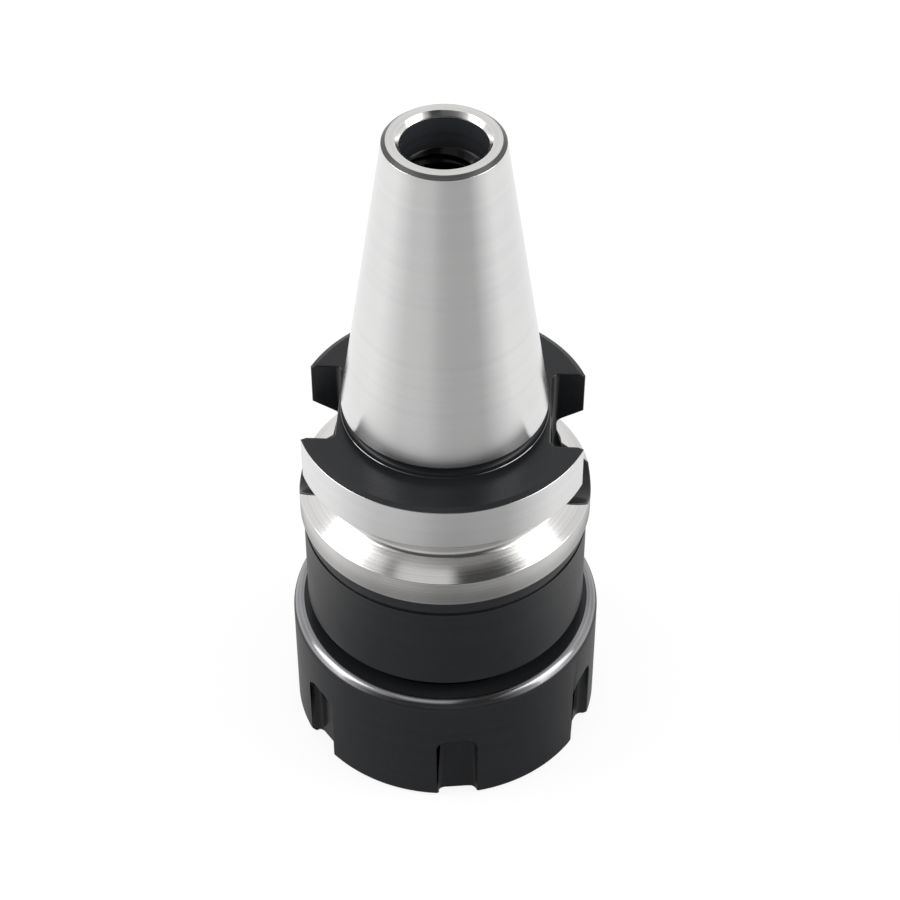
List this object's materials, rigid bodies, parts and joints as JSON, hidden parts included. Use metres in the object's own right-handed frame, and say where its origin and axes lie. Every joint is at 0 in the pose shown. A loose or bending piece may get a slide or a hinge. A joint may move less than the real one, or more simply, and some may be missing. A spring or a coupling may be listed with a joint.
{
  "type": "collet chuck holder",
  "caption": "Steep-taper collet chuck holder: ground cone, flange with gripper groove and drive slots, black body, slotted clamping nut and slit spring collet.",
  "frame": {"origin": "centre of the clamping nut's flat front face, which is the surface that the part stands on", "axes": "+Z along the tool axis from the nut up to the small end of the shank; the two drive slots of the flange face +X and -X"},
  "size_m": [0.05, 0.05, 0.1144],
  "materials": {
    "holder_steel": "ground cone and flange bands, black oxide flange top and body",
    "nut_steel": "satin black oxide with a bright turned crown edge",
    "collet_steel": "fine ground"
  },
  "bodies": {
    "holder": {"holder_body": "holder_steel"},
    "collet": {"collet": "collet_steel"},
    "nut": {"clamping_nut": "nut_steel"}
  },
  "joints": [
    {"name": "collet_travel", "type": "slide", "parent": "holder", "child": "collet", "axis": [0, 0, -1], "range_m": [0, 0.012]},
    {"name": "nut_turn", "type": "hinge", "parent": "collet", "child": "nut", "pos_m": [0, 0, 0.011], "axis": [0, 0, -1], "range_deg": [0, 2880]}
  ],
  "couplings": [
    {"joint": "collet_travel", "follows": "nut_turn", "m_per_rad": 0.00023873}
  ]
}
